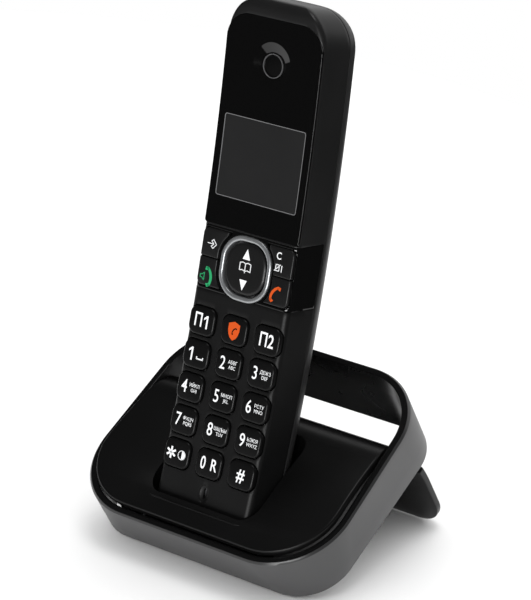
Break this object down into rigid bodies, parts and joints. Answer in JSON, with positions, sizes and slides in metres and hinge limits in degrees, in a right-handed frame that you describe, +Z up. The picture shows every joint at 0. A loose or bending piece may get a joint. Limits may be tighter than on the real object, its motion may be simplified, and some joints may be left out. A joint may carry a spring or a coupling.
{
  "type": "cordless phone with charging base",
  "caption": "Cordless telephone handset with display, navigation ring and keypad, standing in a tilted charging cradle with a band rim and rear leg.",
  "frame": {"origin": "on the table, under the centre of the whole phone's outline", "axes": "+Z up, -Y towards the person using it (front of cradle and keypad side), +X to the user's right"},
  "size_m": [0.1042, 0.0864, 0.1843],
  "materials": {
    "band_black": "satin gloss wall, polished rim",
    "tray_black": "fine satin grain",
    "underside_black": "matt",
    "foot_rubber": "matt",
    "screw_steel": "zinc plated",
    "circuit_board": "solder mask",
    "shield_tin": "tinned",
    "socket_black": "satin",
    "button_grey": "satin",
    "contact_gold": "plated",
    "handset_matte": "fine matt grain",
    "lens_gloss": "polished",
    "ring_silver": "satin silver",
    "key_gloss": "gloss",
    "key_black": "satin with white printing",
    "membrane_rubber": "matt",
    "display_grey": "unlit liquid crystal display",
    "speaker_grey": "satin",
    "rear_shell": "fine satin grain",
    "battery_wrap": "printed film",
    "contact_steel": "nickel plated"
  },
  "bodies": {
    "cradle": {"base_band": "band_black", "cradle_tray": "tray_black", "base_bottom_cover": "underside_black", "base_feet": "foot_rubber", "base_screws": "screw_steel", "base_circuit_board": "circuit_board", "base_radio_shield": "shield_tin", "line_socket": "socket_black", "power_socket": "socket_black", "paging_switch": "shield_tin"},
    "handset": {"handset_front_shell": "handset_matte", "display_lens": "lens_gloss", "navigation_bezel": "lens_gloss", "navigation_ring": "ring_silver", "keypad_membrane": "membrane_rubber", "handset_circuit_board": "circuit_board", "display_module": "display_grey", "earpiece": "speaker_grey", "microphone": "shield_tin", "ringer": "speaker_grey", "radio_shield": "shield_tin", "handset_rear_shell": "rear_shell", "batteries": "battery_wrap", "battery_contacts": "contact_steel", "charge_pads": "contact_gold", "handset_screws": "screw_steel"},
    "menu_key": {"menu_key": "key_gloss"},
    "call_key": {"call_key": "key_gloss"},
    "clear_key": {"clear_key": "key_gloss"},
    "end_key": {"end_key": "key_gloss"},
    "key_p1": {"key_p1": "key_black"},
    "key_guard": {"key_guard": "key_black"},
    "key_p2": {"key_p2": "key_black"},
    "key_1": {"key_1": "key_black"},
    "key_2": {"key_2": "key_black"},
    "key_3": {"key_3": "key_black"},
    "key_4": {"key_4": "key_black"},
    "key_5": {"key_5": "key_black"},
    "key_6": {"key_6": "key_black"},
    "key_7": {"key_7": "key_black"},
    "key_8": {"key_8": "key_black"},
    "key_9": {"key_9": "key_black"},
    "key_star": {"key_star": "key_black"},
    "key_0": {"key_0": "key_black"},
    "key_hash": {"key_hash": "key_black"},
    "navigation_key": {"navigation_key": "key_gloss"},
    "battery_door": {"battery_door": "rear_shell"},
    "charge_pin_left": {"charge_pin_left": "contact_gold"},
    "charge_pin_right": {"charge_pin_right": "contact_gold"},
    "paging_button": {"paging_button": "button_grey"}
  },
  "joints": [
    {"name": "handset_lift", "type": "slide", "parent": "cradle", "child": "handset", "axis": [0, 0.1975, 0.9803], "range_m": [0, 0.06]},
    {"name": "menu_key_press", "type": "slide", "parent": "handset", "child": "menu_key", "axis": [0, 0.9692, -0.2463], "range_m": [0, 0.0007], "stiffness_N_per_m": 250},
    {"name": "call_key_press", "type": "slide", "parent": "handset", "child": "call_key", "axis": [0, 0.9692, -0.2463], "range_m": [0, 0.0007], "stiffness_N_per_m": 250},
    {"name": "clear_key_press", "type": "slide", "parent": "handset", "child": "clear_key", "axis": [0, 0.9692, -0.2463], "range_m": [0, 0.0007], "stiffness_N_per_m": 250},
    {"name": "end_key_press", "type": "slide", "parent": "handset", "child": "end_key", "axis": [0, 0.9692, -0.2463], "range_m": [0, 0.0007], "stiffness_N_per_m": 250},
    {"name": "key_p1_press", "type": "slide", "parent": "handset", "child": "key_p1", "axis": [0, 0.9692, -0.2463], "range_m": [0, 0.0007], "stiffness_N_per_m": 250},
    {"name": "key_guard_press", "type": "slide", "parent": "handset", "child": "key_guard", "axis": [0, 0.9692, -0.2463], "range_m": [0, 0.0007], "stiffness_N_per_m": 250},
    {"name": "key_p2_press", "type": "slide", "parent": "handset", "child": "key_p2", "axis": [0, 0.9692, -0.2463], "range_m": [0, 0.0007], "stiffness_N_per_m": 250},
    {"name": "key_1_press", "type": "slide", "parent": "handset", "child": "key_1", "axis": [0, 0.9692, -0.2463], "range_m": [0, 0.0007], "stiffness_N_per_m": 250},
    {"name": "key_2_press", "type": "slide", "parent": "handset", "child": "key_2", "axis": [0, 0.9692, -0.2463], "range_m": [0, 0.0007], "stiffness_N_per_m": 250},
    {"name": "key_3_press", "type": "slide", "parent": "handset", "child": "key_3", "axis": [0, 0.9692, -0.2463], "range_m": [0, 0.0007], "stiffness_N_per_m": 250},
    {"name": "key_4_press", "type": "slide", "parent": "handset", "child": "key_4", "axis": [0, 0.9692, -0.2463], "range_m": [0, 0.0007], "stiffness_N_per_m": 250},
    {"name": "key_5_press", "type": "slide", "parent": "handset", "child": "key_5", "axis": [0, 0.9692, -0.2463], "range_m": [0, 0.0007], "stiffness_N_per_m": 250},
    {"name": "key_6_press", "type": "slide", "parent": "handset", "child": "key_6", "axis": [0, 0.9692, -0.2463], "range_m": [0, 0.0007], "stiffness_N_per_m": 250},
    {"name": "key_7_press", "type": "slide", "parent": "handset", "child": "key_7", "axis": [0, 0.9692, -0.2463], "range_m": [0, 0.0007], "stiffness_N_per_m": 250},
    {"name": "key_8_press", "type": "slide", "parent": "handset", "child": "key_8", "axis": [0, 0.9692, -0.2463], "range_m": [0, 0.0007], "stiffness_N_per_m": 250},
    {"name": "key_9_press", "type": "slide", "parent": "handset", "child": "key_9", "axis": [0, 0.9692, -0.2463], "range_m": [0, 0.0007], "stiffness_N_per_m": 250},
    {"name": "key_star_press", "type": "slide", "parent": "handset", "child": "key_star", "axis": [0, 0.9692, -0.2463], "range_m": [0, 0.0007], "stiffness_N_per_m": 250},
    {"name": "key_0_press", "type": "slide", "parent": "handset", "child": "key_0", "axis": [0, 0.9692, -0.2463], "range_m": [0, 0.0007], "stiffness_N_per_m": 250},
    {"name": "key_hash_press", "type": "slide", "parent": "handset", "child": "key_hash", "axis": [0, 0.9692, -0.2463], "range_m": [0, 0.0007], "stiffness_N_per_m": 250},
    {"name": "navigation_rock", "type": "hinge", "parent": "handset", "child": "navigation_key", "pos_m": [0, -0.00684, 0.09807], "axis": [1, 0, 0], "range_deg": [-2.5, 2.5], "stiffness_Nm_per_rad": 0.05},
    {"name": "battery_door_off", "type": "slide", "parent": "handset", "child": "battery_door", "axis": [0, 0.9692, -0.2463], "range_m": [0, 0.008]},
    {"name": "charge_pin_left_press", "type": "slide", "parent": "cradle", "child": "charge_pin_left", "axis": [0, -0.2463, -0.9692], "range_m": [0, 0.0008], "stiffness_N_per_m": 250},
    {"name": "charge_pin_right_press", "type": "slide", "parent": "cradle", "child": "charge_pin_right", "axis": [0, -0.2463, -0.9692], "range_m": [0, 0.0008], "stiffness_N_per_m": 250},
    {"name": "paging_button_press", "type": "slide", "parent": "cradle", "child": "paging_button", "axis": [0, -1, 0], "range_m": [0, 0.0008], "stiffness_N_per_m": 250}
  ]
}
